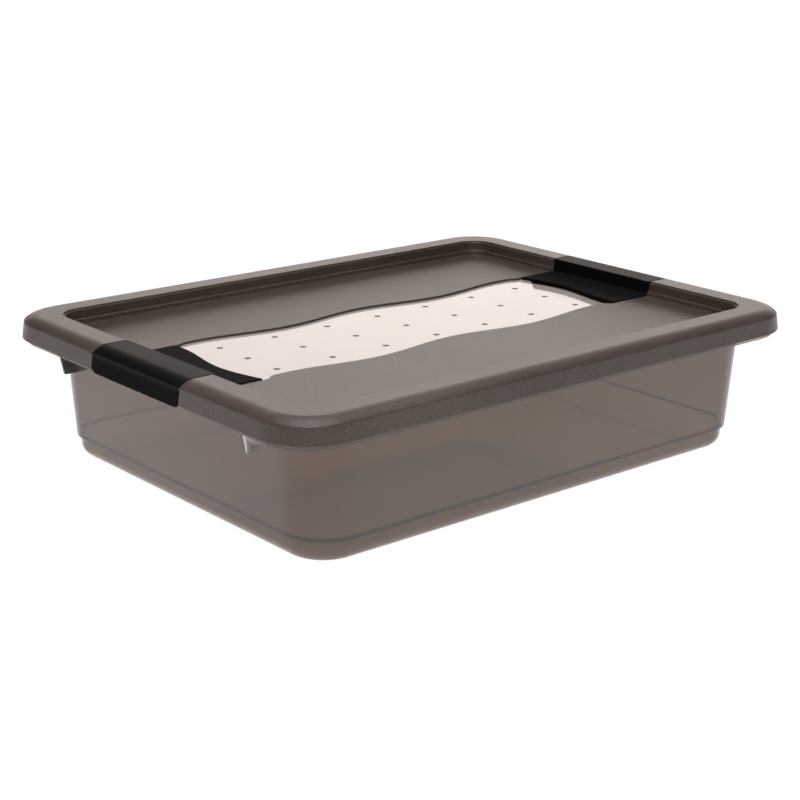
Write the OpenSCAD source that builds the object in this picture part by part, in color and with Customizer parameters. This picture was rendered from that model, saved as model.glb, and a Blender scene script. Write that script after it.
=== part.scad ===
// Shallow storage box with a lift-off vented lid and two hinged end clips.
// Origin at the middle of the base, +Z up, millimetres. Length runs along X.

/* [Lid] */
// Length of the lid over its skirt
lid_len = 522; // [420:1:640]
// Width of the lid over its skirt
lid_wid = 394.4; // [320:0.2:480]
// Corner radius of the lid at the foot of its skirt
lid_corner_r = 43; // [36:1:60]
// Height from the table to the crest of the lid
total_h = 118; // [100:1:180]
// Height of the skirt from its foot to the crisp edge
skirt_h = 13.3; // [12:0.1:18]
// How far the skirt leans in over its height
skirt_lean = 1.8; // [0:0.1:3]
// Height of the rounded shoulder between skirt and crest
shoulder_h = 4.5; // [3:0.1:6]
// Width of the rounded shoulder
shoulder_w = 12.5; // [9:0.1:15]
// Wall thickness of the lid rim
lid_wall = 2.2; // [1.6:0.1:2.8]
// Width of the lid rim, from the skirt foot to the recess
rim_w = 30.2; // [27:0.1:40]
// Corner radius of the recess at the crest
recess_r = 20; // [14:1:28]
// Depth of the recess from the crest to the frosted panel
recess_depth = 12; // [10:0.5:16]
// Thickness of the frosted panel
panel_t = 2; // [1.5:0.1:3]
// Drop from the crest to the upper ledge of the recess wall
ledge_1_drop = 1.5; // [1:0.1:3]
// Width of the upper ledge
ledge_1_w = 1.7; // [1:0.1:3]
// Drop from the crest to the lower ledge of the recess wall
ledge_2_drop = 8.7; // [6:0.1:9]
// Width of the lower ledge
ledge_2_w = 2.2; // [1:0.1:3]

/* [Vent band] */
// Mean half width of the window in the frosted panel
band_half_w = 57.7; // [50:0.1:64]
// Height of the wave along each edge of the window
wave_h = 4.8; // [0:0.1:8]
// Length of one wave
wave_len = 163; // [120:1:240]
// Length over which the window widens beside the clips
window_ease = 8; // [2:1:20]
// Thickness of the light vent panel under the window
vent_t = 2; // [1.5:0.1:3]
// Overlap of the vent panel beyond the mean edge of the window
vent_overlap = 18.3; // [15:0.1:24]
// Number of vent holes along the length
vent_nx = 7; // [3:2:9]
// Number of vent holes across the width
vent_ny = 3; // [1:2:3]
// Spacing of the vent holes along the length
vent_px = 53; // [40:1:56]
// Spacing of the vent holes across the width
vent_py = 37.4; // [25:0.2:42]
// Diameter of a vent hole
vent_d = 5; // [2:0.1:6]
// Diameter of a stake that holds the vent panel
stake_d = 4; // [3:0.1:5]
// Clearance round a stake
stake_gap = 0.1; // [0.05:0.05:0.3]
// Distance of the outer stakes from the end of the vent panel
stake_end = 26; // [20:1:40]
// Distance of the inner stakes from the middle of the vent panel
stake_mid = 70; // [50:1:90]

/* [Tray] */
// Inset of the tray wall from the lid skirt at each end, at the base step
tray_in_x = 34.2; // [32:0.1:45]
// Inset of the tray wall from the lid skirt at each long side, at the base step
tray_in_y = 25.7; // [24:0.1:40]
// Corner radius of the tray at the base step
tray_r = 36.3; // [30:0.1:45]
// Wall thickness of the tray
tray_wall = 2; // [1.5:0.1:3]
// Outward lean of the tray wall for each mm of height
tray_lean = 0.076; // [0.01:0.002:0.09]
// Height of the step between base and wall
step_z = 17.6; // [14:0.1:26]
// Inset of the base below the step
base_in = 3; // [2:0.1:6]
// Radius round the foot of the base
base_r = 10.5; // [6:0.5:13]
// Depth of the widened mouth below the top of the flange
mouth_h = 13.5; // [12:0.5:16]
// Width that the mouth steps out past the wall at each end
mouth_out_x = 7.5; // [7:0.1:11]
// Width that the mouth steps out past the wall at each long side
mouth_out_y = 0.8; // [0.5:0.1:5]
// Corner radius of the mouth, inside
mouth_r = 44; // [42:1:50]
// Length of the lip that hangs from the edge of the flange
lip_h = 15.5; // [6:0.5:16]
// Gap from the flange lip to the lid skirt
lip_gap = 2.3; // [1.5:0.1:3]
// Height of the seating rib between flange and lid crest
seat_rib_h = 3.6; // [3:0.1:5]
// Gap between the seating rib and the flange
seat_gap = 0.2; // [0.1:0.05:0.4]
// Distance of each stacking web from the middle of the end
web_y = 122; // [80:1:130]
// Thickness of a stacking web
web_t = 2.4; // [1.5:0.1:4]
// Distance of the foot of a stacking web in from the lip of the flange
web_foot_in = 7; // [3:0.5:12]
// Height of the foot of a stacking web above the table
web_z = 79.5; // [60:0.5:90]

/* [Clips] */
// Width of a clip
clip_w = 116.4; // [90:0.2:124]
// Gap between a clip and the lid on each side
clip_side_gap = 0.8; // [0.5:0.1:1.5]
// Wall thickness of a clip
clip_t = 2.2; // [1.8:0.1:2.3]
// How far a clip reaches below the foot of the skirt
clip_drop = 2.2; // [1:0.1:4]
// Radius of the lower corners of a clip
clip_corner_r = 5; // [2:0.5:8]
// Width of the clip top, from the lid skirt foot to its inner wall
clip_top_w = 32.5; // [31.5:0.1:36]
// Mean distance from the inner wall to the free edge of the flap
flap_len = 38; // [26:0.5:50]
// Height of the wave along the free edge of the flap
flap_wave = 4.2; // [0:0.1:8]
// Length of the wave along the free edge of the flap
flap_wave_len = 125; // [100:1:180]
// Distance of the hollow of that wave from the middle of the clip
flap_wave_y = 14; // [-30:1:30]
// Reach of the pointed tip at one end of the free edge
flap_tip = 1; // [0:0.5:8]
// Gap under the flap and under the clip top
clip_lift = 0.3; // [0.2:0.05:0.5]
// Distance of the hinge pin from the skirt foot
hinge_in = 6.5; // [6.2:0.1:8]
// Height of the hinge pin above the foot of the skirt
hinge_up = 1.8; // [1:0.1:3]
// Diameter of the hinge pin
pin_d = 3.6; // [3:0.1:4]
// Radial clearance round the hinge pin
pin_gap = 0.08; // [0.04:0.01:0.1]
// Wall of the hook round the pin
hook_wall = 1.7; // [1.4:0.1:1.9]
// Width of a hook
hook_w = 6.4; // [4:0.1:10]
// Gap beside a hook
hook_side_gap = 0.5; // [0.3:0.1:1]
// Width of the snap mouth of a hook
hook_mouth = 3; // [2.4:0.1:3.2]
// Radius of a hinge ear
ear_r = 2.8; // [2.5:0.1:3]
// Thickness of a hinge ear
ear_t = 2.8; // [2:0.1:4]
// Distance of each hook from the middle of the clip
hook_y = 40.5; // [20:0.5:42]

/* [Hidden] */
$fn = 64;
eps = 0.1;
arc_n = 10;
hx = lid_len / 2;
hy = lid_wid / 2;
skirt_z = total_h - shoulder_h - skirt_h;
edge_z = total_h - shoulder_h;
arc_r = (pow(shoulder_w, 2) + pow(shoulder_h, 2)) / (2 * shoulder_h);
arc_a = asin(shoulder_w / arc_r);
crest_in = skirt_lean + shoulder_w;
panel_z = total_h - recess_depth;
panel_under = panel_z - panel_t;
vent_z = panel_under - vent_t;
ledge_lean = 0.3;
foot_in = ledge_1_w + ledge_2_w + 3 * ledge_lean;
rib_t = 2;
foot_draft = 0.3;

// Tray outlines, as half sizes at a height above the step
tray_hx = hx - tray_in_x;
tray_hy = hy - tray_in_y;
tray_cx = tray_hx - tray_r;
tray_cy = tray_hy - tray_r;
flange_z = total_h - lid_wall - seat_rib_h - seat_gap;
mouth_z = flange_z - mouth_h;
wall_r = tray_r + tray_lean * (mouth_z - step_z);
mouth_hx = tray_cx + wall_r + mouth_out_x - tray_wall;
mouth_hy = tray_cy + wall_r + mouth_out_y - tray_wall;
lip_r = lid_corner_r - lid_wall - lip_gap;
lip_cx = hx - lid_corner_r;
lip_cy = hy - lid_corner_r;
lip_x = lip_cx + lip_r - tray_wall / 2;

// Clip and hinge
zone = clip_w / 2 + clip_side_gap;
hinge_x = hx - hinge_in;
hinge_z = skirt_z + hinge_up;
clip_in_x = hx - clip_top_w;
clip_under = total_h - clip_t;
saddle_z = clip_under - clip_lift;
saddle_t = 2;
saddle_past = 3.3;
swing_gap = 0.6;
swing_r = hinge_x - clip_in_x - clip_t - swing_gap;
saddle_in_x = hinge_x - sqrt(pow(swing_r, 2) - pow(saddle_z - hinge_z, 2));
saddle_out_x = hx - crest_in + saddle_past;
flap_under = panel_under + clip_lift;
flap_t = 2.3;
flap_reach = flap_len + flap_wave + flap_tip + 2;
flange_cut_gap = 2.2;
flange_cut_x = hinge_x - ear_r - flange_cut_gap;
stake_in = 3.5;
head_t = 1.2;
vent_r = 6;
stake_y = band_half_w + wave_h + stake_d / 2 + stake_in;
vent_hx = hx - rim_w - foot_in;
stake_xs = [stake_end - vent_hx, -stake_mid, stake_mid, vent_hx - stake_end];

// Points of the outside of the rim section, as [distance in from the skirt foot, height]
function rim_outside(low) = concat(
  [[0, low], [0, skirt_z], [skirt_lean, edge_z]],
  [for (i = [1:arc_n]) let (a = arc_a * (1 - i / arc_n))
    [crest_in - arc_r * sin(a), total_h - arc_r * (1 - cos(a))]]
);

// Points of the inside of the rim section, from the crest to the foot
function rim_inside(t, low) = concat(
  [for (i = [0:arc_n]) let (a = 0.85 * arc_a * i / arc_n)
    [crest_in - (arc_r - t) * sin(a), total_h - arc_r + (arc_r - t) * cos(a)]],
  [[skirt_lean + t, edge_z - 0.6 * t], [t, skirt_z], [t, low]]
);

// Half width of the window at x on the far side, s = 1, or on the near side, s = -1
function band_edge(x, s) = let (
  turn = 180 * (abs(x) + flap_reach + window_ease - clip_in_x) / window_ease,
  open = (1 - cos(min(max(turn, 0), 180))) / 2
) (band_half_w + s * wave_h * cos(360 * x / wave_len)) * (1 - open) + zone * open;

// Free edge of the right flap at y
function flap_edge(y) = clip_in_x - flap_len
  + flap_wave * cos(360 * (y - flap_wave_y) / flap_wave_len)
  - flap_tip * pow(max(y, 0) / (clip_w / 2), 8);

// A rectangle with rounded corners, given by half sizes
module rounded_rect(half_x, half_y, r) {
  square([2 * half_x, 2 * (half_y - r)], center = true);
  square([2 * (half_x - r), 2 * half_y], center = true);
  for (sx = [-1, 1], sy = [-1, 1])
    translate([sx * (half_x - r), sy * (half_y - r)]) circle(r);
}

// Carries a section round a rounded rectangle whose corner centres are at cx, cy
module carry_round(cx, cy) {
  for (k = [0:3]) {
    a = k % 2 == 0 ? cx : cy;
    b = k % 2 == 0 ? cy : cx;
    rotate(90 * k) translate([a, b, 0]) {
      rotate_extrude(angle = 90) children();
      rotate([90, 0, 0]) linear_extrude(2 * b) children();
    }
  }
}

// A plate between two rounded rectangles
module ring_plate(z, t, out_x, out_y, out_r, in_x, in_y, in_r) {
  translate([0, 0, z]) linear_extrude(t) difference() {
    rounded_rect(out_x, out_y, out_r);
    rounded_rect(in_x, in_y, in_r);
  }
}

// Extrudes an X-Z section along Y between two places
module along_y(y0, y1) {
  translate([0, y1, 0]) rotate([90, 0, 0]) linear_extrude(y1 - y0) children();
}

// Both ends of the box, the second turned half round
module both_ends() {
  for (a = [0, 180]) rotate(a) children();
}

// Base, step and leaning wall of the tray as a thin section
module tray_section() {
  low_r = tray_r - base_in - foot_draft;
  foot_r = low_r - base_r;
  in_r = base_r - tray_wall;
  polygon(concat(
    [[foot_r - eps, tray_wall], [foot_r - eps, 0]],
    [for (i = [0:arc_n]) let (a = 90 * i / arc_n)
      [foot_r + base_r * sin(a), base_r * (1 - cos(a))]],
    [[tray_r - base_in, step_z], [tray_r, step_z], [wall_r, mouth_z + eps]],
    [[wall_r - tray_wall, mouth_z + eps], [tray_r - tray_wall, step_z + tray_wall]],
    [[tray_r - base_in - tray_wall, step_z + tray_wall]],
    [for (i = [0:arc_n]) let (a = 90 * (1 - i / arc_n))
      [foot_r + in_r * sin(a), base_r - in_r * cos(a)]]
  ));
}

// A thin web from the tray wall out to the lip of the flange
module stacking_web() {
  wall_x = tray_cx + wall_r - tray_wall / 2;
  along_y(-web_t / 2, web_t / 2) polygon([
    [wall_x - tray_lean * (mouth_z - web_z), web_z],
    [lip_x - web_foot_in, web_z],
    [lip_x, flange_z - tray_wall / 2],
    [mouth_hx + tray_wall / 2, flange_z - tray_wall / 2],
    [mouth_hx + tray_wall / 2, mouth_z + tray_wall / 2],
    [wall_x, mouth_z + tray_wall / 2]
  ]);
}

// Two ears with a moulded pin between them, in the X-Z plane of the hinge
module hinge_ears() {
  side = hook_w / 2 + hook_side_gap;
  for (s = [-1, 1]) translate([0, s * (side + ear_t / 2), 0])
    along_y(-ear_t / 2, ear_t / 2) {
      translate([hinge_x, hinge_z]) circle(ear_r);
      polygon([
        [hinge_x - ear_r, hinge_z],
        [hinge_x + 1, hinge_z],
        [hinge_x + 1, flange_z - 1.5],
        [hinge_x - 1, flange_z],
        [flange_cut_x - 3, flange_z],
        [flange_cut_x - 3, flange_z - tray_wall],
        [hinge_x - ear_r, flange_z - 5]
      ]);
    }
  translate([hinge_x, side + eps, hinge_z]) rotate([90, 0, 0])
    cylinder(d = pin_d, h = 2 * (side + eps));
}

module tray() {
  color([0.45, 0.4, 0.37, 0.5]) {
    difference() {
      union() {
        carry_round(tray_cx, tray_cy) tray_section();
        floor_r = tray_r - base_in - foot_draft - base_r;
        linear_extrude(tray_wall) rounded_rect(tray_cx + floor_r, tray_cy + floor_r, floor_r);
        // Ledge at the foot of the widened mouth
        ring_plate(mouth_z, tray_wall, mouth_hx + tray_wall, mouth_hy + tray_wall,
          mouth_r + tray_wall, tray_cx + wall_r - tray_wall, tray_cy + wall_r - tray_wall,
          wall_r - tray_wall);
        // Upright wall of the mouth
        ring_plate(mouth_z, mouth_h, mouth_hx + tray_wall, mouth_hy + tray_wall,
          mouth_r + tray_wall, mouth_hx, mouth_hy, mouth_r);
        // Flange and its lip
        ring_plate(flange_z - tray_wall, tray_wall, lip_cx + lip_r, lip_cy + lip_r, lip_r,
          mouth_hx, mouth_hy, mouth_r);
        ring_plate(flange_z - lip_h, lip_h, lip_cx + lip_r, lip_cy + lip_r, lip_r,
          lip_cx + lip_r - tray_wall, lip_cy + lip_r - tray_wall, lip_r - tray_wall);
      }
      both_ends() translate([flange_cut_x, -zone, flange_z - lip_h - eps]) cube([hx, 2 * zone, hx]);
    }
    both_ends() {
      for (s = [-1, 1]) translate([0, s * web_y, 0]) stacking_web();
      for (s = [-1, 1]) translate([0, s * hook_y, 0]) hinge_ears();
    }
  }
}

// Skirt and shoulder of the lid, as distance from a corner centre
module rim_section() {
  polygon([for (p = concat(rim_outside(skirt_z), rim_inside(lid_wall, skirt_z)))
    [lid_corner_r - p[0], p[1]]]);
}

// Recess wall with its two ledges, as distance from a recess corner centre
module recess_section() {
  z1 = total_h - ledge_1_drop;
  z2 = total_h - ledge_2_drop;
  x1 = recess_r - ledge_lean;
  x2 = x1 - ledge_1_w;
  x3 = x2 - ledge_lean - ledge_2_w;
  w = lid_wall - eps;
  polygon([
    [recess_r + 2 * w, total_h], [recess_r, total_h], [x1, z1], [x2, z1],
    [x2 - ledge_lean, z2], [x3, z2], [x3 - ledge_lean, panel_z], [x3 - ledge_lean, panel_under],
    [x3 + w, panel_under], [x3 + w, z2 - w], [x2 - ledge_lean + w, z2 - w],
    [recess_r, total_h - lid_wall], [recess_r + 2 * w, total_h - lid_wall]
  ]);
}

// Closed end of the rim beside a clip, above the flange and inside its mouth
module rim_end_web() {
  y0 = zone;
  y1 = zone + lid_wall;
  difference() {
    along_y(y0, y1) polygon(concat(
      [for (p = rim_outside(skirt_z)) [hx - p[0] - eps, p[1] - eps]],
      [[hx - rim_w + eps, total_h - eps], [hx - rim_w - foot_in + eps, panel_under],
        [hx - rim_w + 4, panel_under]]
    ));
    translate([mouth_hx - 1.5, y0 - eps, 0]) cube([hx, lid_wall + 2 * eps, flange_z + 0.3]);
  }
  along_y(y0, y1) polygon([
    [hx - rim_w - foot_in + 1, panel_under], [saddle_in_x + saddle_t, panel_under],
    [saddle_in_x + saddle_t, total_h - lid_wall], [hx - rim_w + 1, total_h - lid_wall]
  ]);
}

// Low saddle that a closed clip lies over
module saddle() {
  along_y(-zone - eps, zone + eps) polygon([
    [saddle_in_x, panel_under],
    [saddle_in_x + saddle_t, panel_under],
    [saddle_in_x + saddle_t, saddle_z - saddle_t],
    [saddle_out_x - 2, saddle_z - saddle_t],
    [saddle_out_x - 2, flange_z + 0.4],
    [saddle_out_x, flange_z + 0.4],
    [saddle_out_x, saddle_z - 0.8],
    [saddle_out_x - 4, saddle_z],
    [saddle_in_x, saddle_z]
  ]);
}

// Window with waving edges, widened at each end for the clips
module window_outline() {
  end_x = hx - rim_w;
  steps = 120;
  xs = [for (i = [0:steps]) -end_x + 2 * end_x * i / steps];
  polygon(concat(
    [for (x = xs) [x, band_edge(x, 1)]],
    [for (i = [steps:-1:0]) [xs[i], -band_edge(xs[i], -1)]]
  ));
}

module lid() {
  in_hx = hx - rim_w;
  in_hy = hy - rim_w;
  foot_r = recess_r - foot_in;
  crest_r = lid_corner_r - crest_in;
  color([0.29, 0.26, 0.25]) {
    difference() {
      union() {
        carry_round(hx - lid_corner_r, hy - lid_corner_r) rim_section();
        carry_round(in_hx - recess_r, in_hy - recess_r) recess_section();
        ring_plate(total_h - lid_wall, lid_wall, hx - crest_in, hy - crest_in, crest_r,
          in_hx, in_hy, recess_r);
        // Seating rib that rests on the tray flange
        ring_plate(flange_z + seat_gap, seat_rib_h + eps, hx - crest_in + 0.5,
          hy - crest_in + 0.5, crest_r + 3, hx - crest_in + 0.5 - rib_t,
          hy - crest_in + 0.5 - rib_t, crest_r + 3 - rib_t);
      }
      both_ends() translate([in_hx - 20, -zone, 0]) cube([hx, 2 * zone, total_h + 1]);
    }
    translate([0, 0, panel_under]) linear_extrude(panel_t) difference() {
      rounded_rect(in_hx - foot_in + eps, in_hy - foot_in + eps, foot_r + eps);
      window_outline();
    }
    both_ends() {
      saddle();
      rim_end_web();
      mirror([0, 1, 0]) rim_end_web();
    }
    // Stakes through the vent panel, with their flattened heads
    for (x = stake_xs, s = [-1, 1]) translate([x, s * stake_y, vent_z]) {
      cylinder(d = stake_d, h = vent_t + eps);
      translate([0, 0, -head_t]) cylinder(d = stake_d + 3, h = head_t);
    }
  }
}

module vent_panel() {
  half_w = band_half_w + vent_overlap;
  color([0.87, 0.83, 0.81]) translate([0, 0, vent_z]) linear_extrude(vent_t) difference() {
    union() {
      rounded_rect(vent_hx, half_w, vent_r);
      square([2 * (saddle_in_x + saddle_t), 2 * zone], center = true);
    }
    for (i = [0:vent_nx - 1], j = [0:vent_ny - 1])
      translate([(i - (vent_nx - 1) / 2) * vent_px, (j - (vent_ny - 1) / 2) * vent_py])
        circle(d = vent_d);
    for (x = stake_xs, s = [-1, 1])
      translate([x, s * stake_y]) circle(d = stake_d + 2 * stake_gap);
  }
}

// Section of a clip: outer wall, shoulder, top and inner wall
module clip_section() {
  low = skirt_z - clip_drop;
  polygon(concat(
    [for (p = rim_outside(low)) [hx - p[0], p[1]]],
    [[clip_in_x, total_h], [clip_in_x, flap_under], [clip_in_x + clip_t, flap_under]],
    [[clip_in_x + clip_t, clip_under]],
    [for (p = rim_inside(clip_t, low)) [hx - p[0], p[1]]]
  ));
}

// One snap hook that turns on a hinge pin
module hook() {
  r = pin_d / 2 + pin_gap + hook_wall;
  difference() {
    along_y(-hook_w / 2, hook_w / 2) {
      translate([hinge_x, hinge_z]) circle(r);
      translate([hinge_x, hinge_z - r]) square([hinge_in - clip_t / 2, 2 * r]);
    }
    translate([hinge_x, hook_w / 2 + eps, hinge_z]) rotate([90, 0, 0])
      cylinder(d = pin_d + 2 * pin_gap, h = hook_w + 2 * eps);
    translate([hinge_x - 2 * r, -hook_w / 2 - eps, hinge_z - hook_mouth / 2])
      cube([2 * r, hook_w + 2 * eps, hook_mouth]);
  }
}

// Flap that lies on the vent panel and is lifted with the fingers
module flap() {
  steps = 36;
  ys = [for (i = [0:steps]) -clip_w / 2 + clip_w * i / steps];
  translate([0, 0, flap_under]) linear_extrude(flap_t)
    polygon(concat(
      [for (y = ys) [flap_edge(y), y]],
      [[clip_in_x + clip_t, clip_w / 2], [clip_in_x + clip_t, -clip_w / 2]]
    ));
}

module clip() {
  low = skirt_z - clip_drop;
  color([0.15, 0.15, 0.15]) {
    intersection() {
      along_y(-clip_w / 2, clip_w / 2) clip_section();
      translate([clip_in_x - 1, 0, 0]) rotate([90, 0, 90]) linear_extrude(clip_top_w + 2)
        union() {
          translate([-clip_w / 2, low + clip_corner_r]) square([clip_w, total_h]);
          translate([-clip_w / 2 + clip_corner_r, low])
            square([clip_w - 2 * clip_corner_r, total_h]);
          for (s = [-1, 1]) translate([s * (clip_w / 2 - clip_corner_r), low + clip_corner_r])
            circle(clip_corner_r);
        }
    }
    flap();
    for (s = [-1, 1]) translate([0, s * hook_y, 0]) hook();
  }
}

module clip_right() {
  clip();
}

module clip_left() {
  rotate(180) clip();
}

tray();
lid();
vent_panel();
clip_left();
clip_right();
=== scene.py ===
# %% [markdown]
# # A shallow storage box with a vented lid
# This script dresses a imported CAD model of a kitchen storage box: a clear smoke brown
# tray, a frosted lid with a waved window, a pale vent panel under the window and a black
# clip hinged at each end. The CAD model gives the frame, so every size here is the
# designer's own, in millimetres, and each piece is put exactly where the CAD piece is.

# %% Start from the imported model
import math

import bpy
import numpy as np
from mathutils import Matrix, Vector
from mathutils.geometry import delaunay_2d_cdt


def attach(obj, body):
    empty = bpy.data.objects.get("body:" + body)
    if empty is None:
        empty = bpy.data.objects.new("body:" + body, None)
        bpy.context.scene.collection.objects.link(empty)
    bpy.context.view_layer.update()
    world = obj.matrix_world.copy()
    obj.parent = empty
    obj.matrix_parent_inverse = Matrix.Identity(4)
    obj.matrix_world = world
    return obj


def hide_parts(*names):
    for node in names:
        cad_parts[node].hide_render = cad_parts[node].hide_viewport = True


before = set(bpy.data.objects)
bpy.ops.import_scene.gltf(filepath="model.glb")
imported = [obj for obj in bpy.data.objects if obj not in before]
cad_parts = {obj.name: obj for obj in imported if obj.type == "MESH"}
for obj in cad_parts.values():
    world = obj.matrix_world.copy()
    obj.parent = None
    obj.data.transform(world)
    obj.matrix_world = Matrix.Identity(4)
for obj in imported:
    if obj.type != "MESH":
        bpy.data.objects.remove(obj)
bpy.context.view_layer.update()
scene = bpy.context.scene
MM = 0.001

# %% [markdown]
# ## The sizes of the box
# A moulded box is mostly rounded rectangles stacked at different heights. Each one is
# given by the centres of its corner arcs and a radius, because the skirt, the shoulder
# and the crest of the lid share the same corner centres and only their radius changes.

# %% Sizes in millimetres
LID_X = 261.0  # half length over the skirt
LID_CX, LID_CY, LID_R = 218.0, 154.2, 43.0  # corner centres and radius of the skirt
TOP = 118.0  # crest of the lid above the table
SKIRT_Z, EDGE_Z = 100.2, 113.5  # foot and crisp edge of the skirt
SKIRT_LEAN = 1.8
SHOULDER_R, SHOULDER_DEG = 19.61, 39.6  # arc of the shoulder
CREST_IN = 14.3  # from the skirt foot to the flat crest
LID_WALL = 2.2
RECESS_CX, RECESS_CY, RECESS_R = 210.8, 147.0, 20.0
PANEL_Z, PANEL_T = 106.0, 2.0  # top and thickness of the frosted panel
VENT_Z, VENT_T = 104.0, 2.0
ZONE = 59.0  # half the opening that the lid leaves for a clip
TRAY_CX, TRAY_CY, TRAY_R = 190.5, 135.2, 36.3
TRAY_LEAN = 0.076  # outward lean of the tray wall for each mm of height
STEP_Z, STEP_IN, FOOT_R = 17.6, 3.0, 10.5  # step above the base, and radius of the foot
FLANGE_Z, MOUTH_Z = 112.0, 98.5
LIP_X, LIP_Z = 255.5, 96.5  # middle and foot of the lip of the flange
WALL_R = TRAY_R + TRAY_LEAN * (MOUTH_Z - STEP_Z)
CLIP_HALF = 58.2
INNER_X = 228.5  # inner wall of a clip
FLAP_LOW, FLAP_TOP = 104.3, 106.6
HINGE_X, HINGE_Z = 254.5, 102.0


# %% [markdown]
# ## Camera
# The photograph looks at the box from the left front, about 16 degrees above the table,
# with a long lens. The position was found by matching the corners of the box.

# %% Camera
def aim_camera(place, target, roll_deg):
    """Turns a camera so that it looks along target minus place, rolled a little."""
    look = (Vector(target) - Vector(place)).normalized()
    right = look.cross(Vector((0, 0, 1))).normalized()
    up = right.cross(look)
    roll = math.radians(roll_deg)
    side = right * math.cos(roll) + up * math.sin(roll)
    top = up * math.cos(roll) - right * math.sin(roll)
    turn = Matrix((side, top, -look)).transposed().to_4x4()
    return Matrix.Translation(place) @ turn


lens = bpy.data.cameras.new("photo_camera")
lens.sensor_width = 36.0
lens.lens = 78.66
lens.shift_x = -0.0075
lens.shift_y = -0.0504
lens.dof.use_dof = False
camera = bpy.data.objects.new("photo_camera", lens)
scene.collection.objects.link(camera)
camera.matrix_world = aim_camera((-0.9004, -1.0535, 0.4704), (0.0, 0.0, 0.0746), 0.57)
scene.camera = camera


# %% [markdown]
# ## Surfaces from profiles
# Nearly every surface here is one profile carried round a rounded rectangle. A station
# on the way round says how much of the corner centre it uses and which way is outward,
# so that profile points with different corner centres still share one grid.

# %% Stations on the way round
def quarter_way(start_y, corner_steps=14):
    """Stations from the right end to the middle of the back.

    Each row is (u, a, v, b, nx, ny). A profile point with corner centre (cx, cy) and
    radius r lies at x = u cx + a + r nx and y = v cy + b + r ny. On the straight end v
    grows from 0 to 1 while b falls from start_y to 0; on the corner the outward
    direction turns by a quarter; on the long side u falls from 1 to 0.
    """
    t = np.linspace(0.0, 1.0, 7)
    one, nil = np.ones_like(t), np.zeros_like(t)
    end = np.stack([one, nil, t, start_y * (1 - t), one, nil], axis=1)
    turn = np.linspace(0.0, math.pi / 2, corner_steps + 1)[1:-1]
    one, nil = np.ones_like(turn), np.zeros_like(turn)
    corner = np.stack([one, nil, one, nil, np.cos(turn), np.sin(turn)], axis=1)
    t = np.linspace(0.0, 1.0, 9)
    one, nil = np.ones_like(t), np.zeros_like(t)
    side = np.stack([1 - t, nil, one, nil, nil, one], axis=1)
    return np.vstack([end, corner, side])


END_MIRROR = np.array([-1, -1, 1, 1, -1, 1])  # takes a station to the left end


def half_way(start_y):
    """Stations from the right end round the back to the left end, by mirroring."""
    part = quarter_way(start_y)
    return np.vstack([part, part[-2::-1] * END_MIRROR])


def carried(rows, stations):
    """Grid of points, stations by rows: each row is (cx, cy, r, z)."""
    u, a, v, b, nx, ny = (stations[:, i, None] for i in range(6))
    cx, cy, r, z = (rows[None, :, i] for i in range(4))
    x = u * cx + a + r * nx
    y = v * cy + b + r * ny
    return np.stack([x, y, np.broadcast_to(z, x.shape)], axis=2)


def softened(rows, soft, steps=3, closed=False):
    """Rounds each corner of a profile by its own soft length.

    A corner B becomes the curve (1-t)^2 A + 2 t (1-t) B + t^2 C, where A and C lie
    on the edges before and after B at the soft length, which is never more than
    0.45 of either edge.
    """
    rows = np.asarray(rows, float)
    before, after = np.roll(rows, 1, axis=0), np.roll(rows, -1, axis=0)

    def reach(other):
        step = other - rows
        length = np.hypot(step[:, 0] + step[:, 2], step[:, 3])
        share = np.minimum(np.asarray(soft) / np.maximum(length, 1e-9), 0.45)
        return rows + step * share[:, None]

    t = np.linspace(0.0, 1.0, steps + 1)[None, :, None]
    bent = (1 - t) ** 2 * reach(before)[:, None] + 2 * t * (1 - t) * rows[:, None]
    bent = (bent + t**2 * reach(after)[:, None]).reshape(-1, 4)
    if not closed:
        bent = np.vstack([rows[:1], bent[steps + 1 : -steps - 1], rows[-1:]])
    return bent


def tidy_rows(rows):
    """Leaves out points that repeat the one before."""
    step = np.abs(np.diff(rows, axis=0)).max(axis=1)
    return rows[np.concatenate([[True], step > 1e-4])]


# %% [markdown]
# ## From a grid to a closed mesh
# A grid becomes quads between neighbours. Its open ends are closed with one flat face
# each, and the whole is turned inside out if its volume comes out negative, because
# glass and normals need faces that point outwards.

# %% Meshes
def quads(rows, cols, first=0):
    """Quads between the neighbours of a grid of points whose columns close in a ring."""
    i = np.arange(rows - 1)[:, None]
    j = np.arange(cols)[None, :]
    j2 = (j + 1) % cols
    faces = np.stack(
        [i * cols + j, (i + 1) * cols + j, (i + 1) * cols + j2, i * cols + j2], axis=-1
    )
    return (faces.reshape(-1, 4) + first).tolist()


def shell(grid):
    """Points and faces of a grid of rings. One flat face closes each end row."""
    rows, cols = grid.shape[:2]
    number = np.arange(rows * cols).reshape(rows, cols)
    ends = [number[0].tolist(), number[-1, ::-1].tolist()]
    return grid.reshape(-1, 3), quads(rows, cols) + ends


def volume_of(points, faces):
    """Six volumes of the fans of all faces, added and divided by six."""
    total = 0.0
    for size in {len(f) for f in faces}:
        ring = points[np.array([f for f in faces if len(f) == size])]
        a, b, c = ring[:, :1], ring[:, 1:-1], ring[:, 2:]
        total += np.einsum("ijk,ijk->", a + 0 * b, np.cross(b, c)) / 6.0
    return total


def outward(part):
    """The same closed part with its faces turned outwards."""
    points, faces = part
    if volume_of(points, faces) < 0:
        faces = [f[::-1] for f in faces]
    return points, faces


def joined(parts):
    """Several closed parts as one list of points and faces."""
    points, faces, first = [], [], 0
    for pts, fcs in map(outward, parts):
        points.append(pts)
        faces += [[k + first for k in f] for f in fcs]
        first += len(pts)
    return np.vstack(points), faces


def turned_half(part):
    """The part turned half round the box's upright axis."""
    points, faces = part
    return points * np.array([-1.0, -1.0, 1.0]), faces


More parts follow.
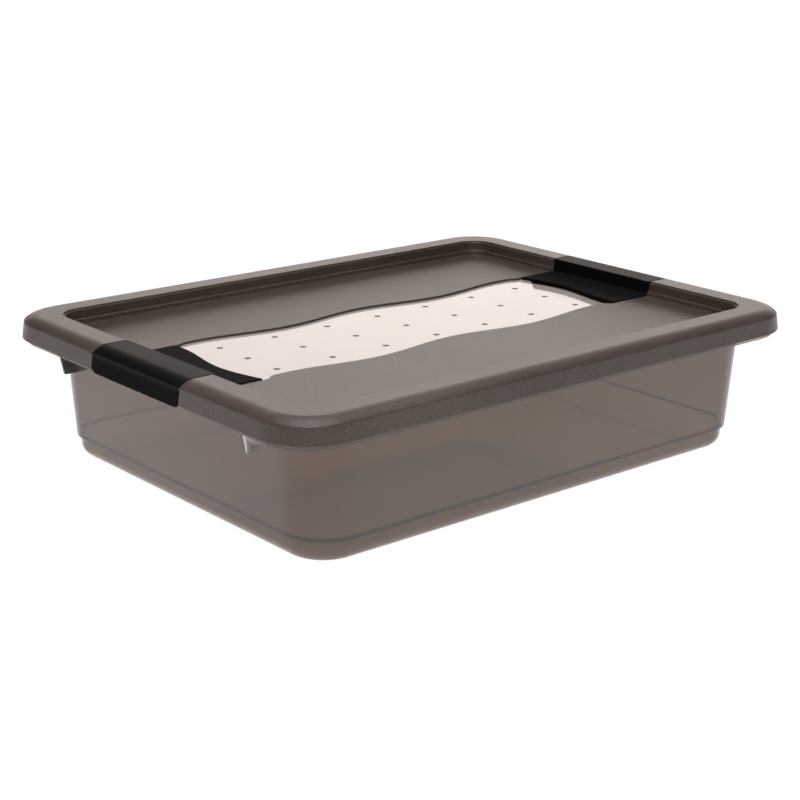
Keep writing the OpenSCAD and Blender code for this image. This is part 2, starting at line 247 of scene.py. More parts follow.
def mirrored(part, axis=1):
    """The part mirrored across the box; outward() turns its faces back."""
    points, faces = part
    sign = np.ones(3)
    sign[axis] = -1.0
    return points * sign, faces


def as_piece(name, part, body, material):
    """Puts a closed part into a Blender object that rides on a body."""
    points, faces = outward(part)
    mesh = bpy.data.meshes.new(name)
    mesh.from_pydata((points * MM).tolist(), [], faces)
    mesh.validate()
    piece = bpy.data.objects.new(name, mesh)
    scene.collection.objects.link(piece)
    mesh.materials.append(material)
    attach(piece, body)
    print(name, len(points), "points,", len(faces), "faces,",
          round(volume_of(points, faces) / 1000, 1), "cm3")
    return piece


def smooth_by_angle(piece, degrees=35.0):
    """Shades smooth over soft edges and keeps edges above the angle crisp."""
    piece.data.shade_smooth()
    piece.data.set_sharp_from_angle(angle=math.radians(degrees))
    even = piece.modifiers.new("even_normals", "WEIGHTED_NORMAL")
    even.keep_sharp = True


# %% [markdown]
# ## Flat plates and bars
# The frosted panel, the vent panel, the webs and the hinge ears are flat outlines with
# a thickness. Their edges are softened by stepping the outline in by a few tenths of a
# millimetre, as a moulded edge is.

# %% Plates
def inset(outline, amount):
    """The outline moved in by an amount, along the mean of its two edge normals."""
    ahead = np.roll(outline, -1, axis=0) - outline
    ahead /= np.maximum(np.linalg.norm(ahead, axis=1, keepdims=True), 1e-9)
    behind = np.roll(ahead, 1, axis=0)
    normal = np.stack([-(ahead + behind)[:, 1], (ahead + behind)[:, 0]], axis=1)
    size = np.maximum((normal**2).sum(axis=1, keepdims=True), 0.4)
    return outline + normal * 2.0 * amount / size


def area_of(outline):
    """Shoelace area, positive when the outline runs anticlockwise."""
    x, y = outline[:, 0], outline[:, 1]
    return 0.5 * float(np.sum(x * np.roll(y, -1) - np.roll(x, -1) * y))


def inside(points, outline):
    """Which points lie inside an outline, by counting the edges that each ray crosses."""
    x, y = points[:, :1], points[:, 1:]
    x0, y0 = outline[None, :, 0], outline[None, :, 1]
    x1, y1 = np.roll(x0, -1, axis=1), np.roll(y0, -1, axis=1)
    over = (y0 > y) != (y1 > y)
    cut = x0 + (y - y0) * (x1 - x0) / np.where(over, y1 - y0, 1.0)
    return ((over & (x < cut)).sum(axis=1) % 2) == 1


def plate(outline, low, high, soft=0.35, holes=(), steps=3):
    """A flat plate between two heights, with softened edges and round holes.

    Each outline is stacked as rings: the inset is soft (1 - cos a) at soft sin a
    from the face, a quarter circle at the top and at the bottom.
    """
    rims = [outline if area_of(outline) > 0 else outline[::-1]]
    rims += [h[::-1] if area_of(h) > 0 else h for h in holes]
    angle = np.linspace(math.pi / 2, 0.0, steps + 1)
    step_in, drop = soft * (1 - np.cos(angle)), soft * (1 - np.sin(angle))
    ring_in = np.concatenate([step_in, step_in[::-1]])
    ring_z = np.concatenate([high - drop, (low + drop)[::-1]])
    points, faces, tops, lows, first = [], [], [], [], 0
    for rim in rims:
        layers = [np.column_stack([inset(rim, a), np.full(len(rim), z)])
                  for a, z in zip(ring_in, ring_z)]
        grid = np.stack(layers)
        faces += quads(*grid.shape[:2], first)
        tops.append(np.arange(len(rim)) + first)
        first += grid.shape[0] * grid.shape[1]
        lows.append(np.arange(first - len(rim), first))
        points.append(grid.reshape(-1, 3))
    points = np.vstack(points)
    if len(rims) == 1:
        faces += [tops[0][::-1].tolist(), lows[0].tolist()]
        return points, faces
    flat = points[np.concatenate(tops)][:, :2]
    ends = np.cumsum([0] + [len(t) for t in tops])
    edges = [(a + i, a + (i + 1) % (b - a)) for a, b in zip(ends[:-1], ends[1:])
             for i in range(b - a)]
    spots, _, cells, *_ = delaunay_2d_cdt([Vector(p) for p in flat], edges, [], 0, 1e-6)
    cells = np.array([c[:] for c in cells])
    middle = np.array([s[:] for s in spots])[cells].mean(axis=1)
    keep = inside(middle, flat[: ends[1]])
    for a, b in zip(ends[1:-1], ends[2:]):
        keep &= ~inside(middle, flat[a:b])
    cells = cells[keep]
    faces += np.concatenate(tops)[cells][:, ::-1].tolist()
    faces += np.concatenate(lows)[cells].tolist()
    return points, faces


def arc(cx, cy, r, a0, a1, steps):
    """Points on a circle from one angle to another, in degrees."""
    a = np.radians(np.linspace(a0, a1, steps + 1))
    return np.column_stack([cx + r * np.cos(a), cy + r * np.sin(a)])


def along_y(part, y0):
    """A plate made in x and z stands up: its thickness runs along y from y0."""
    points, faces = part
    return np.column_stack([points[:, 0], points[:, 2] + y0, points[:, 1]]), faces


def ring(x, y, r, count):
    """A full circle of evenly spaced points."""
    return arc(x, y, r, 0, 360 * (count - 1) / count, count - 1)


def drum(x, y, low, high, r, soft):
    """An upright round post with softened rims."""
    return plate(ring(x, y, r, 32), low, high, soft)


# %% [markdown]
# ## Materials
# Each finish starts from what the real plastic is. One helper adds a node, sets it and
# joins it, so that a material reads as a short list.

# %% Material helpers
def linear(code):
    """An sRGB hex colour as linear RGBA: ((c + 0.055) / 1.055) ** 2.4 above 0.04045."""
    c = np.array([int(code[i : i + 2], 16) for i in (0, 2, 4)]) / 255
    c = np.where(c > 0.04045, ((c + 0.055) / 1.055) ** 2.4, c / 12.92)
    return (*c.tolist(), 1.0)


def add(tree, kind, inputs=None, **settings):
    """Adds a node; inputs takes values or the outputs of other nodes."""
    made = tree.nodes.new(kind)
    for key, value in settings.items():
        setattr(made, key, value)
    for key, value in (inputs or {}).items():
        if isinstance(value, bpy.types.NodeSocket):
            tree.links.new(value, made.inputs[key])
        else:
            made.inputs[key].default_value = value
    return made


def new_material(name):
    """An empty material with Object coordinates; finish() adds its output later."""
    material = bpy.data.materials.new(name)
    material.use_nodes = True
    tree = material.node_tree
    tree.nodes.clear()
    place = add(tree, "ShaderNodeTexCoord").outputs["Object"]
    return material, tree, place


def finish(tree, shader):
    """Joins the shader to a new output node."""
    return add(tree, "ShaderNodeOutputMaterial", {"Surface": shader.outputs["BSDF"]})


def two_tone(tree, amount, low, high, at=(0.35, 0.65)):
    """A colour ramp between two hex colours."""
    ramp = add(tree, "ShaderNodeValToRGB", {"Fac": amount})
    for stop, place, code in zip(ramp.color_ramp.elements, at, (low, high)):
        stop.position, stop.color = place, linear(code)
    return ramp.outputs["Color"]


# %% [markdown]
# ### Clear smoke brown tray
# Injection moulded SAN, a stiff clear plastic tinted smoke brown. Its polished faces are
# almost mirror smooth, with a faint waviness where the melt cooled.

# %% Smoke brown SAN
def smoke_brown_san():
    material, tree, place = new_material("smoke_brown_san_moulded")
    wave = add(tree, "ShaderNodeTexNoise", {"Vector": place, "Scale": 14.0, "Detail": 1.0})
    cloud = add(tree, "ShaderNodeTexNoise", {"Vector": place, "Scale": 5.0, "Detail": 2.0})
    bump = add(tree, "ShaderNodeBump",
               {"Height": wave.outputs["Fac"], "Strength": 0.03, "Distance": 0.001})
    rough = add(tree, "ShaderNodeMapRange",
                {"Value": cloud.outputs["Fac"], "To Min": 0.02, "To Max": 0.05})
    shader = add(tree, "ShaderNodeBsdfPrincipled", {
        "Base Color": two_tone(tree, cloud.outputs["Fac"], "F4F0EC", "F8F5F2"),
        "Roughness": rough.outputs["Result"], "Normal": bump.outputs["Normal"],
        "IOR": 1.57, "Transmission Weight": 0.95,
    })
    # Light is taken off by depth, so thick edges and slanting walls go dark.
    inside = add(tree, "ShaderNodeVolumeAbsorption",
                 {"Color": (0.42, 0.27, 0.15, 1.0), "Density": 740.0})
    out = finish(tree, shader)
    tree.links.new(inside.outputs["Volume"], out.inputs["Volume"])
    return material


# %% [markdown]
# ### Frosted lid
# The same family of smoke brown plastic, moulded in a tool with a fine spark eroded
# grain. The grain scatters the light, so the lid looks like brown frosted glass.

# %% Frosted brown plastic
def frosted_brown():
    material, tree, place = new_material("frosted_brown_moulded")
    # Real grain is about 0.3 mm; it is drawn at 0.7 mm so that it shows.
    grain = add(tree, "ShaderNodeTexNoise",
                {"Vector": place, "Scale": 1400.0, "Detail": 2.0, "Roughness": 0.6})
    cloud = add(tree, "ShaderNodeTexNoise", {"Vector": place, "Scale": 9.0, "Detail": 3.0})
    mixed = add(tree, "ShaderNodeMath", {0: grain.outputs["Fac"], 1: 0.8},
                operation="MULTIPLY")
    tone = add(tree, "ShaderNodeMath", {0: cloud.outputs["Fac"], 1: 0.2, 2: mixed.outputs[0]},
               operation="MULTIPLY_ADD")
    bump = add(tree, "ShaderNodeBump",
               {"Height": grain.outputs["Fac"], "Strength": 0.6, "Distance": 0.0003})
    shader = add(tree, "ShaderNodeBsdfPrincipled", {
        "Base Color": two_tone(tree, tone.outputs[0], "2E2520", "5E5049"),
        "Roughness": 0.36, "Normal": bump.outputs["Normal"], "IOR": 1.5,
    })
    finish(tree, shader)
    return material


# %% [markdown]
# ### Pale vent panel
# Smooth pale ABS with a half gloss, so that the clip above it is mirrored softly.

# %% Pale ABS
def pale_abs():
    material, tree, place = new_material("pale_abs_half_gloss")
    cloud = add(tree, "ShaderNodeTexNoise", {"Vector": place, "Scale": 22.0, "Detail": 2.0})
    rough = add(tree, "ShaderNodeMapRange",
                {"Value": cloud.outputs["Fac"], "To Min": 0.08, "To Max": 0.11})
    shader = add(tree, "ShaderNodeBsdfPrincipled", {
        "Base Color": two_tone(tree, cloud.outputs["Fac"], "B2A7A2", "B6ABA6"),
        "Roughness": rough.outputs["Result"], "IOR": 1.53,
    })
    finish(tree, shader)
    return material


# %% [markdown]
# ### Black clips
# Black polypropylene, tough enough for a snap fit, with a satin tool finish. The flap,
# below the crest, is more matt.

# %% Black polypropylene
def black_polypropylene():
    material, tree, place = new_material("black_polypropylene_satin")
    grain = add(tree, "ShaderNodeTexNoise",
                {"Vector": place, "Scale": 1500.0, "Detail": 1.0})
    cloud = add(tree, "ShaderNodeTexNoise", {"Vector": place, "Scale": 30.0, "Detail": 2.0})
    bump = add(tree, "ShaderNodeBump",
               {"Height": grain.outputs["Fac"], "Strength": 0.15, "Distance": 0.0001})
    height = add(tree, "ShaderNodeSeparateXYZ", {"Vector": place}).outputs["Z"]
    matt = add(tree, "ShaderNodeMapRange", {
        "Value": height, "From Min": 0.108, "From Max": 0.112, "To Min": 0.3, "To Max": 0.0})
    satin = add(tree, "ShaderNodeMapRange",
                {"Value": cloud.outputs["Fac"], "To Min": 0.45, "To Max": 0.51})
    rough = add(tree, "ShaderNodeMath",
                {0: satin.outputs["Result"], 1: matt.outputs["Result"]}, operation="ADD")
    shader = add(tree, "ShaderNodeBsdfPrincipled", {
        "Base Color": two_tone(tree, cloud.outputs["Fac"], "090909", "0D0D0E"),
        "Roughness": rough.outputs[0], "Normal": bump.outputs["Normal"],
        "IOR": 1.49, "Specular IOR Level": 0.1,
    })
    finish(tree, shader)
    return material


smoke = smoke_brown_san()
frosted = frosted_brown()
pale = pale_abs()
black = black_polypropylene()


# %% [markdown]
# ## The tray
# One profile runs from the middle of the underside round the foot, over the crisp step,
# up the leaning wall, out to the widened mouth and its flange, over the hanging lip and
# back down inside. Beside each clip the lip is cut away, so there the profile takes a
# second form with the same number of points.

# %% Tray profile
MOUTH_CX, MOUTH_CY = 194.448, 132.448


def foot_arc(r):
    """Quarter circle under the wall, from the floor up, as (cx, cy, r, z) rows."""
    a = np.radians(np.linspace(0, 90, 9))
    rows = np.zeros((len(a), 4))
    rows[:, 0], rows[:, 1] = TRAY_CX, TRAY_CY
    rows[:, 2] = TRAY_R - STEP_IN - 0.3 - FOOT_R + r * np.sin(a)
    rows[:, 3] = FOOT_R - r * np.cos(a)
    return rows


def tray_rows(cut):
    """Profile of the tray beside a clip (cut) or elsewhere, all with soft corners."""
    under = 110.0
    lip_in, lip_out = (31.0, 31.5) if cut else (36.5, 38.5)
    lip_foot = (lip_in + 0.25, under, 0.1) if cut else (lip_in, LIP_Z, 0.4)
    t, m, f = (TRAY_CX, TRAY_CY), (MOUTH_CX, MOUTH_CY), (LID_CX, LID_CY)
    corners = [
        (*t, TRAY_R - STEP_IN, STEP_Z, 0.5), (*t, TRAY_R, STEP_Z, 0.45),
        (*t, WALL_R, MOUTH_Z, 0.8), (*m, 46.0, MOUTH_Z, 1.2), (*m, 46.0, under, 0.6),
        (*f, lip_in, under, 0.4), (*f, *lip_foot),
        (*f, lip_out, under if cut else LIP_Z, 0.4), (*f, lip_out, FLANGE_Z, 0.7),
        (*m, 44.0, FLANGE_Z, 0.6), (*m, 44.0, MOUTH_Z + 2, 0.6),
        (*t, WALL_R - 2, MOUTH_Z + 2, 0.8), (*t, TRAY_R - 2, STEP_Z + 2, 0.5),
        (*t, TRAY_R - STEP_IN - 2, STEP_Z + 2, 0.5),
    ]
    outer, inner = foot_arc(FOOT_R), foot_arc(FOOT_R - 2)[::-1]
    corners = np.array(corners)
    soft = np.concatenate([[0.01], corners[:, 4], [0.01]])
    rows = np.vstack([outer[-1:], corners[:, :4], inner[:1]])
    return np.vstack([outer[:-1], softened(rows, soft), inner[1:]])


def tray_shell():
    """The swept tray, closed under and inside by its flat floor."""
    part = quarter_way(ZONE + 0.03)
    start = np.array([[1, 0, 0, 0, 1, 0], [1, 0, 0, ZONE, 1, 0]], float)
    part = np.vstack([start, part])
    half = np.vstack([part, part[-2::-1] * END_MIRROR])
    loop = np.vstack([half, -half[1:-1]])
    cut = (np.abs(loop[:, 3]) <= ZONE) & (loop[:, 2] == 0)
    weight = cut.astype(float)[:, None, None]
    grid = carried(tray_rows(True), loop) * weight
    grid += carried(tray_rows(False), loop) * (1 - weight)
    return shell(grid.transpose(1, 0, 2))


# %% Webs and hinge ears of the tray
def rounded_outline(corners, soft, steps=3):
    """Rounds the corners of a flat outline."""
    pts = np.asarray(corners, float)
    rows = np.column_stack([pts[:, 0], 0 * pts[:, 0], 0 * pts[:, 0], pts[:, 1]])
    bent = softened(rows, np.broadcast_to(soft, len(pts)), steps, closed=True)
    return bent[:, [0, 3]]


def stacking_web(y):
    """A thin web from the right end of the tray out to the lip of the flange."""
    wall_x, low = TRAY_CX + WALL_R - 1.0, 79.5
    outline = rounded_outline([
        (wall_x - TRAY_LEAN * (MOUTH_Z - low), low), (LIP_X - 7.0, low), (LIP_X, 111.0),
        (239.4, 111.0), (239.4, 99.5), (wall_x, 99.5)], 0.6)
    return along_y(plate(outline, -1.2, 1.2, 0.3), y)


def hinge_ears(y):
    """Two ears with a pin between them, which a hook of the clip snaps onto."""
    top = FLANGE_Z - 0.4
    tail = [(HINGE_X + 1, top - 1.2), (HINGE_X - 1, top), (244.5, top), (244.5, 110.4),
            (HINGE_X - 2.8, 107.0)]
    nose = arc(HINGE_X, HINGE_Z, 2.8, 180, 385, 18)
    outline = np.vstack([nose, [(HINGE_X + 1.6, HINGE_Z + 3.4)], tail])
    ear = plate(outline, -1.4, 1.4, 0.3)
    side = 3.2 + 0.5 + 1.4
    pin = plate(ring(HINGE_X, HINGE_Z, 1.8, 36), -side, side, 0.1)
    return [along_y(ear, y - side), along_y(ear, y + side), along_y(pin, y)]


def boolean_into(piece, tools, operation):
    """Joins each tool to the piece, or cuts it out, and leaves one closed mesh."""
    for number, part in enumerate(tools):
        points, faces = outward(part)
        mesh = bpy.data.meshes.new(f"tool_{number}")
        mesh.from_pydata((points * MM).tolist(), [], faces)
        tool = bpy.data.objects.new(mesh.name, mesh)
        scene.collection.objects.link(tool)
        step = piece.modifiers.new(mesh.name, "BOOLEAN")
        step.operation, step.solver, step.object = operation, "EXACT", tool
    bpy.context.view_layer.update()
    graph = bpy.context.evaluated_depsgraph_get()
    made = bpy.data.meshes.new_from_object(piece.evaluated_get(graph))
    used = [m.object for m in piece.modifiers]
    piece.modifiers.clear()
    piece.data = made
    for tool in used:
        bpy.data.objects.remove(tool)
    print(piece.name, "after", operation, len(made.polygons), "faces")


# %% Build the tray
tray = as_piece("tray_shell", tray_shell(), "tray", smoke)
tray_tools = []
for web_y in (-122.0, 122.0):
    tray_tools += [stacking_web(web_y), turned_half(stacking_web(web_y))]
for hook_y in (-40.5, 40.5):
    for bit in hinge_ears(hook_y):
        tray_tools += [bit, turned_half(bit)]
boolean_into(tray, [joined(tray_tools)], "UNION")
smooth_by_angle(tray)
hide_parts("tray")


# %% [markdown]
# ## The lid
# The rim is one closed profile: skirt, crisp edge, shoulder, crest, the recess wall with
# its two ledges, and back underneath with the seating rib that stands on the tray. It is
# carried round the back from clip to clip, and turned half round for the front.

# %% Lid rim
def rim_rows():
    """Closed profile of the lid rim as (cx, cy, r, z) rows."""
    lid, rec = (LID_CX, LID_CY), (RECESS_CX, RECESS_CY)
    a = np.radians(SHOULDER_DEG * (1 - np.arange(1, 11) / 10))
    outer = [(*lid, LID_R - CREST_IN + SHOULDER_R * s, TOP - SHOULDER_R * (1 - c), 0.0)
             for s, c in zip(np.sin(a), np.cos(a))]
    b = 0.85 * np.radians(SHOULDER_DEG) * np.arange(0, 9) / 8
    ri = SHOULDER_R - LID_WALL
    under = [(*lid, LID_R - CREST_IN + ri * s, TOP - SHOULDER_R + ri * c, 0.0)
             for s, c in zip(np.sin(b), np.cos(b))]
    top2, back = TOP - LID_WALL, 2.1
    rows = [
        (*lid, LID_R - LID_WALL, SKIRT_Z, 0.5), (*lid, LID_R, SKIRT_Z, 0.6),
        (*lid, LID_R - SKIRT_LEAN, EDGE_Z, 1.3), *outer,
        (*rec, RECESS_R, TOP, 0.5), (*rec, 19.7, 116.5, 0.35), (*rec, 18.0, 116.5, 0.4),
        (*rec, 17.7, 109.3, 0.5), (*rec, 15.5, 109.3, 0.5), (*rec, 15.2, PANEL_Z, 0.25),
        (*rec, 15.1, 104.0, 0.05), (*rec, 15.5 + back, 104.0, 0.2),
        (*rec, 15.5 + back, 107.2, 0.2), (*rec, 17.7 + back, 107.2, 0.2),
        (*rec, 20.6, top2, 0.2), (*lid, 27.2, top2, 0.2), (*lid, 27.2, 112.2, 0.4),
        (*lid, 29.2, 112.2, 0.4), (*lid, 29.2, top2, 0.2), *under[1:],
        (*lid, LID_R - SKIRT_LEAN - LID_WALL, EDGE_Z - 1.3, 0.3),
    ]
    rows = np.array(rows)
    bent = softened(rows[:, :4], np.maximum(rows[:, 4], 1e-6), closed=True)
    return tidy_rows(bent)


def lid_rim():
    """Half of the rim, round the back of the box from clip to clip."""
    return shell(carried(rim_rows(), half_way(ZONE + 0.3)))


def rim_end():
    """The closed end of the rim beside a clip: the rim section filled in."""
    a = np.radians(np.linspace(SHOULDER_DEG, 0, 10))
    shoulder = np.column_stack([LID_X - CREST_IN + SHOULDER_R * np.sin(a) - 0.1,
                                TOP - SHOULDER_R * (1 - np.cos(a)) - 0.1])
    outline = np.vstack([
        [(236.9, 112.3), (LID_X - 0.5, 112.3), (LID_X - 1.9, 113.5)], shoulder,
        [(230.9, TOP - 0.1), (226.1, 104.1), (236.9, 104.1)]])
    plate_end = along_y(plate(outline, 0.0, LID_WALL, 0.15), ZONE)
    skirt = along_y(plate(np.array([(256.6, 100.3), (260.9, 100.3), (259.2, 112.4),
                                    (256.6, 112.4)]), 0.0, LID_WALL, 0.15), ZONE)
    return [plate_end, skirt]


# %% Saddle under a closed clip
def saddle():
    """The low bridge of the lid that a closed clip lies over."""
    low_x, high_x, z = 235.6, 250.0, 115.5
    outline = rounded_outline([
        (low_x, 104.0), (low_x + 2, 104.0), (low_x + 2, z - 2), (high_x - 2, z - 2),
        (high_x - 2, 112.4), (high_x, 112.4), (high_x, z - 0.8), (high_x - 4, z),
        (low_x, z)], 0.3)
    return along_y(plate(outline, -ZONE - 0.1, ZONE + 0.1, 0.1), 0.0)


# %% Frosted panel with its waved window
def window_edge(x, side):
    """Half width of the window at the back (side 1) or at the front (side -1).

    A wave, 57.7 + 4.8 side cos(360 x / 163), so both edges swing the same way. Over
    8 mm from x = 175.3 it eases to the opening that the clips need.
    """
    wave = 57.7 + side * 4.8 * np.cos(2 * math.pi * x / 163.0)
    ease = (1 - np.cos(math.pi * np.clip((np.abs(x) - 175.3) / 8.0, 0, 1))) / 2
    return wave * (1 - ease) + ZONE * ease


def panel_half(side):
    """The back or front half of the frosted panel, from the window to the recess foot."""
    x = np.linspace(-226.4, 226.4, 229)
    wave = np.column_stack([x, window_edge(x, side)])
    corner_r = arc(RECESS_CX, RECESS_CY, 16.4, 0, 90, 10)
    corner_l = arc(-RECESS_CX, RECESS_CY, 16.4, 90, 180, 10)
    outline = np.vstack([wave, corner_r, corner_l]) * [1, side]
    return plate(outline, PANEL_Z - PANEL_T, PANEL_Z, 0.9, steps=6)


STAKE_X, STAKE_Y = (-200.0, -70.0, 70.0, 200.0), 68.0


def stakes():
    """Posts through the vent panel with flattened heads under it."""
    made = []
    for x in STAKE_X:
        made += [drum(x, STAKE_Y, VENT_Z - VENT_T, VENT_Z + 0.1, 2.0, 0.1),
                 drum(x, STAKE_Y, VENT_Z - VENT_T - 1.2, VENT_Z - VENT_T + 0.02, 3.5, 0.5)]
    return made


# %% Build the lid
back = [lid_rim(), *stakes()]
for bit in rim_end():
    back += [bit, mirrored(bit, 0)]
whole = [panel_half(1), panel_half(-1), saddle(), turned_half(saddle())]
lid = as_piece("lid_frosted", joined(back + [turned_half(b) for b in back] + whole),
               "lid", frosted)
smooth_by_angle(lid)
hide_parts("lid")

# %% [markdown]
# ## The vent panel
# A pale plate with three rows of seven small round holes. The tabs at its ends run
# under the clips. In front of the right flap the face dips a little, so that a
# fingertip gets under the free edge. The dip is cut with a solid whose underside is the ramp.

# %% Vent panel
def vent_plate():
    """The pale plate with its end tabs, 7 by 3 air holes and a hole for each stake."""
    half_x, half_y, tab = 226.0, 76.0, 237.6
    corner = [arc(half_x - 6, half_y - 6, 6, 0, 90, 8)]
    quarter = np.vstack([[(tab, 0.0), (tab, ZONE), (half_x, ZONE)], *corner])
    back_half = np.vstack([quarter[1:], quarter[:0:-1] * [-1, 1]])
    outline = np.vstack([back_half, -back_half])
    holes = [ring((i - 3) * 53.0, (j - 1) * 37.4, 2.5, 24)
             for i in range(7) for j in range(3)]
    holes += [ring(x, y, 2.1, 24) for x in STAKE_X for y in (-STAKE_Y, STAKE_Y)]
    return plate(outline, VENT_Z - VENT_T, VENT_Z, 0.3, holes)


def flap_edge(y):
    """Free edge of the right flap: 190.5 + 4.2 cos(360 (y - 14) / 125), with a tip."""
    wave = 190.5 + 4.2 * np.cos(2 * math.pi * (y - 14.0) / 125.0)
    return wave - (np.maximum(y, 0) / CLIP_HALF) ** 8


def finger_dip():
    """A solid whose underside is the dip beside the right flap.

    It starts at a fold 26 mm from the flap's free edge. Past y = 22 the fold closes on
    the flap by 0.8 mm for each mm of y. The depth at a share t of the way in is
    0.85 (1 - (1 - t)^2).
    """
    y = np.linspace(-ZONE + 0.1, ZONE - 0.1, 60)[:, None]
    fold = flap_edge(y) - 26.0
    fold = np.maximum(fold, fold[np.abs(y[:, 0] - 22).argmin()] + 0.8 * (y - 22))
    t = np.concatenate([[-0.12, 0.0, 0.012], np.linspace(0.1, 1.0, 10)])[None, :]
    reach = 30.0
    x = fold + t * reach
    z = VENT_Z - 0.85 * (1 - (1 - t) ** 2) + 0 * y
    back_x, high = np.full_like(y, 224.0), np.full_like(y, 110.0)
    x = np.hstack([x, back_x, back_x, x[:, :1]])
    z = np.hstack([z, z[:, -1:], high, high])
    return shell(np.stack([x, y + 0 * x, z], axis=2))


vent = as_piece("vent_panel_pale", vent_plate(), "lid", pale)
boolean_into(vent, [finger_dip()], "DIFFERENCE")
smooth_by_angle(vent, 2.0)
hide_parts("vent_panel")


# %% [markdown]
# ## The clips
# A clip is one bent shell: an outer wall in line with the skirt, the shoulder and crest
# of the rim, an inner wall down into the recess, and a waved flap for the fingers. Its
# section is carried along Y, with the foot of the outer wall rising in a small radius at
# each side and the flap's free edge following its wave.

# %% Clip shell
CLIP_LOW, FOOT_CORNER = 98.0, 5.0  # foot of the outer wall and radius of its corners


def clip_rows(y):
    """Section of the right clip at each y, as an array of (x, z) points by station."""
    edge_in = np.maximum(np.abs(y) - (CLIP_HALF - FOOT_CORNER), 0)
    low = CLIP_LOW + FOOT_CORNER - np.sqrt(np.maximum(FOOT_CORNER**2 - edge_in**2, 0))
    free = flap_edge(y)
    a = np.radians(SHOULDER_DEG * (1 - np.arange(1, 11) / 10))
    arc_x = LID_X - CREST_IN + SHOULDER_R * np.sin(a)
    arc_z = TOP - SHOULDER_R * (1 - np.cos(a))
    b = 0.85 * np.radians(SHOULDER_DEG) * np.arange(0, 9) / 8
    ri = SHOULDER_R - LID_WALL
    in_x = LID_X - CREST_IN + ri * np.sin(b)
    in_z = TOP - SHOULDER_R + ri * np.cos(b)
    one = np.ones_like(y)
    rows = [(LID_X * one, low, 0.6), (LID_X * one, np.maximum(100.2, low + 0.3), 0.4),
            ((LID_X - 1.8) * one, EDGE_Z * one, 0.9)]
    rows += [(x * one, z * one, 0.0) for x, z in zip(arc_x, arc_z)]
    rows += [(INNER_X * one, TOP * one, 1.0), (INNER_X * one, FLAP_TOP * one, 0.8),
             (free, FLAP_TOP * one, 0.5), (free, FLAP_LOW * one, 0.4),
             ((INNER_X + 2.2) * one, FLAP_LOW * one, 0.8),
             ((INNER_X + 2.2) * one, 115.8 * one, 0.6)]
    rows += [(x * one, z * one, 0.0) for x, z in zip(in_x[1:], in_z[1:])]
    rows += [((LID_X - 4.0) * one, (EDGE_Z - 1.32) * one, 0.3),
             ((LID_X - 2.2) * one, np.maximum(100.2, low + 0.3), 0.2),
             ((LID_X - 2.2) * one, low, 0.5)]
    x = np.stack([r[0] for r in rows], axis=1)
    z = np.stack([r[1] for r in rows], axis=1)
    soft = np.array([r[2] for r in rows])
    return np.stack([x, z], axis=2), soft


def clip_shell():
    """The clip's section carried along Y, with its side edges softened."""
    soft_side = 0.25
    straight = CLIP_HALF - FOOT_CORNER
    mid = np.concatenate([np.linspace(-straight, straight, 41),
                          straight + 4.65 * np.sin(np.linspace(0.25, 1.57, 8))])
    y = np.unique(np.round(np.concatenate([mid, -mid]), 4))
    section, soft = clip_rows(y)
    layers = []
    for cut in section:
        rows = np.zeros((len(cut), 4))
        rows[:, [0, 3]] = cut
        layers.append(softened(rows, np.maximum(soft, 1e-6), closed=True)[:, [0, 3]])
    keep = np.concatenate([[True], np.abs(np.diff(layers[len(y) // 2], axis=0)).max(axis=1)
                           > 1e-4])
    layers = [layer[keep] for layer in layers]
    if area_of(layers[len(y) // 2]) < 0:
        layers = [layer[::-1] for layer in layers]
    grid = [np.column_stack([layer[:, 0], np.full(len(layer), p), layer[:, 1]])
            for layer, p in zip(layers, y)]
    ends = []
    for side in (0, -1):
        edge, sign = layers[side], (-1 if side == 0 else 1)
        for angle in np.radians([25.0, 50.0, 75.0, 90.0]):
            turned = inset(edge, soft_side * (1 - math.cos(angle)))
            place = y[side] + sign * soft_side * math.sin(angle)
            ends.append(np.column_stack([turned[:, 0], np.full(len(turned), place),
                                         turned[:, 1]]))
    grid = np.stack(ends[:4][::-1] + grid + ends[4:])
    return shell(grid)


def hook(y):
    """One open hook that turns on the hinge pin, as a plate in x and z."""
    r, bore = 3.58, 1.88
    mouth = math.degrees(math.asin(1.5 / bore))
    lip = math.degrees(math.asin(1.5 / r))
    outer = arc(HINGE_X, HINGE_Z, r, 90, 180 - lip, 10)
    inner = arc(HINGE_X, HINGE_Z, bore, 180 - mouth, -180 + mouth, 24)
    lower = arc(HINGE_X, HINGE_Z, r, 180 + lip, 270, 10)
    wall = [(259.9, HINGE_Z - r), (259.9, HINGE_Z + r)]
    outline = np.vstack([outer, inner, lower, wall])
    return along_y(plate(outline, -3.2, 3.2, 0.2), y)


# %% Build the clips
clip = joined([clip_shell(), hook(-40.5), hook(40.5)])
for side, part in (("right", clip), ("left", turned_half(clip))):
    piece = as_piece(f"clip_{side}_black", part, f"clip_{side}", black)
    smooth_by_angle(piece)
    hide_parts(f"clip_{side}")


# %% [markdown]
# ## Studio
# The box stands on a white light table, which leaves no shadow, under a wide soft light
# and a small one in front. A bright wall stands low behind it: the level faces of the
# lid take their light from that wall at a grazing angle, and the upright faces stay
# dark.

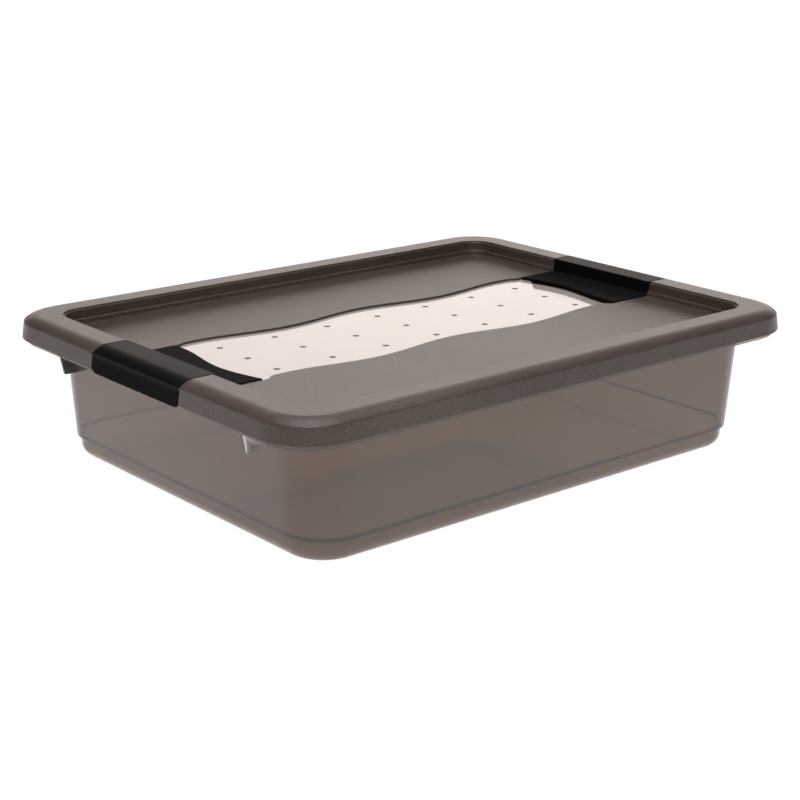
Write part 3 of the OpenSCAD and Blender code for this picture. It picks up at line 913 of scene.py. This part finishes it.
# %% Light table
def light_table():
    """A wide white floor that glows, so that nothing casts a shadow on it."""
    material, tree, place = new_material("white_light_table")
    tooth = add(tree, "ShaderNodeTexNoise", {"Vector": place, "Scale": 3.0, "Detail": 2.0})
    shader = add(tree, "ShaderNodeBsdfPrincipled", {
        "Base Color": two_tone(tree, tooth.outputs["Fac"], "303030", "343434"),
        "Roughness": 0.9, "Emission Color": (1, 1, 1, 1), "Emission Strength": 1.0})
    finish(tree, shader)
    reach, low = 30.0, -0.0004
    corners = [(-reach, -reach, low), (reach, -reach, low), (reach, reach, low),
               (-reach, reach, low)]
    mesh = bpy.data.meshes.new("light_table")
    mesh.from_pydata(corners, [], [(0, 1, 2, 3)])
    mesh.materials.append(material)
    table = bpy.data.objects.new("light_table", mesh)
    scene.collection.objects.link(table)


light_table()


# %% Soft light
def soft_box(name, place, target, size, power):
    """A square area light that faces the target."""
    lamp = bpy.data.lights.new(name, "AREA")
    lamp.shape, lamp.size, lamp.energy = "SQUARE", size, power
    box = bpy.data.objects.new(name, lamp)
    scene.collection.objects.link(box)
    look = (Vector(target) - Vector(place)).normalized()
    box.rotation_euler = look.to_track_quat("-Z", "Y").to_euler()
    box.location = place
    return box


soft_box("top_light", (0.1, 0.1, 1.8), (0, 0, 0.1), 1.3, 16.0)
soft_box("front_light", (-0.68, -0.8, 1.25), (0, 0, 0.1), 0.5, 13.0)


# %% Air
BACK = (0.7, 0.714, 0.0)  # level direction away from the camera


def studio_air(dim, bright):
    """A dim room with a bright wall low behind the box.

    The brightness is dim + bright s(a) (1 - s(z)): a is how much a direction points
    back, z is its height, and s rises smoothly from 0 to 1 between two bounds.
    """
    world = bpy.data.worlds.new("studio_air")
    world.use_nodes = True
    tree = world.node_tree
    way = add(tree, "ShaderNodeTexCoord").outputs["Generated"]
    turn = add(tree, "ShaderNodeVectorMath", {0: way, 1: BACK}, operation="DOT_PRODUCT")
    rise = add(tree, "ShaderNodeSeparateXYZ", {"Vector": way})
    near_back = add(tree, "ShaderNodeMapRange", {
        "Value": turn.outputs["Value"], "From Min": 0.8, "From Max": 0.98},
        interpolation_type="SMOOTHSTEP")
    low_down = add(tree, "ShaderNodeMapRange", {
        "Value": rise.outputs["Z"], "From Min": 0.25, "From Max": 0.5, "To Min": bright,
        "To Max": 0.0}, interpolation_type="SMOOTHSTEP")
    level = add(tree, "ShaderNodeMath", {
        0: near_back.outputs["Result"], 1: low_down.outputs["Result"], 2: dim},
        operation="MULTIPLY_ADD")
    tree.links.new(level.outputs[0], tree.nodes["Background"].inputs["Strength"])
    tree.nodes["Background"].inputs["Color"].default_value = (1.0, 0.91, 0.86, 1)
    scene.world = world


studio_air(0.1, 2.1)
scene.view_settings.view_transform = "Standard"
scene.view_settings.look = "None"
